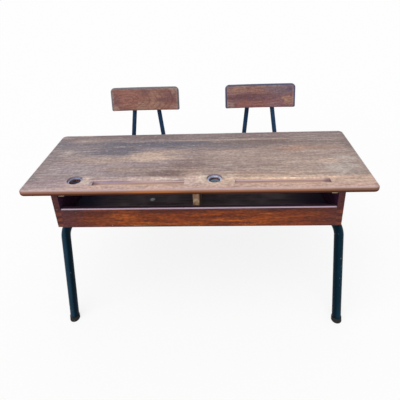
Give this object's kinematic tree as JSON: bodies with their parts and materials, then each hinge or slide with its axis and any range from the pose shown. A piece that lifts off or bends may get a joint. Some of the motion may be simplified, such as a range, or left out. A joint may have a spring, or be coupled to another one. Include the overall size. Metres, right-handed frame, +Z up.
{
  "type": "double school desk with attached seats",
  "caption": "Wooden school desk with pen grooves, lift-out inkwells and an open book box, joined by a bent tube frame to attached seats with curved backrests.",
  "frame": {"origin": "on the floor, under the middle of the whole desk's box", "axes": "+X to the right along the top's front edge as seen from the teacher's side, +Y from the front edge to the seats, +Z up"},
  "size_m": [1.214, 0.8148, 0.7576],
  "materials": {
    "top_wood": "worn varnished hardwood planks",
    "box_wood": "reddish stained and varnished hardwood",
    "floor_wood": "raw darkened boards",
    "pale_wood": "plain unstained wood",
    "seat_wood": "varnished bent plywood",
    "inkwell_ceramic": "glossy white glaze",
    "tube_paint": "glossy dark blue-green paint, chipped",
    "saddle_paint": "glossy dark blue-green paint",
    "screw_steel": "dull steel",
    "foot_rubber": "black rubber",
    "plug_rubber": "black rubber"
  },
  "bodies": {
    "desk": {"top_front_plank": "top_wood", "top_middle_plank_front": "top_wood", "top_middle_plank_rear": "top_wood", "top_rear_plank": "top_wood", "left_side_panel": "box_wood", "right_side_panel": "box_wood", "front_board": "box_wood", "divider": "pale_wood", "compartment_floor": "floor_wood", "left_cleat": "pale_wood", "right_cleat": "pale_wood", "left_front_leg": "tube_paint", "right_front_leg": "tube_paint", "front_cross_tube": "tube_paint", "left_rear_leg": "tube_paint", "right_rear_leg": "tube_paint", "rear_cross_tube": "tube_paint", "seat_cross_tube": "tube_paint", "left_bearer": "tube_paint", "right_bearer": "tube_paint", "left_seat_inner_rail": "tube_paint", "left_seat_outer_rail": "tube_paint", "right_seat_inner_rail": "tube_paint", "right_seat_outer_rail": "tube_paint", "left_seat": "seat_wood", "right_seat": "seat_wood", "left_backrest": "seat_wood", "right_backrest": "seat_wood", "left_front_foot": "foot_rubber", "right_front_foot": "foot_rubber", "left_rear_foot": "foot_rubber", "right_rear_foot": "foot_rubber", "tube_saddles": "saddle_paint", "frame_plugs": "plug_rubber", "rail_plugs": "plug_rubber", "cleat_screws": "screw_steel", "floor_screws": "screw_steel", "saddle_screws": "screw_steel", "seat_screws": "screw_steel", "backrest_screws": "screw_steel"},
    "left_inkwell": {"left_inkwell": "inkwell_ceramic"},
    "right_inkwell": {"right_inkwell": "inkwell_ceramic"}
  },
  "joints": [
    {"name": "left_inkwell_lift", "type": "slide", "parent": "desk", "child": "left_inkwell", "axis": [0, 0.0628, 0.998], "range_m": [0, 0.06]},
    {"name": "right_inkwell_lift", "type": "slide", "parent": "desk", "child": "right_inkwell", "axis": [0, 0.0628, 0.998], "range_m": [0, 0.06]}
  ]
}
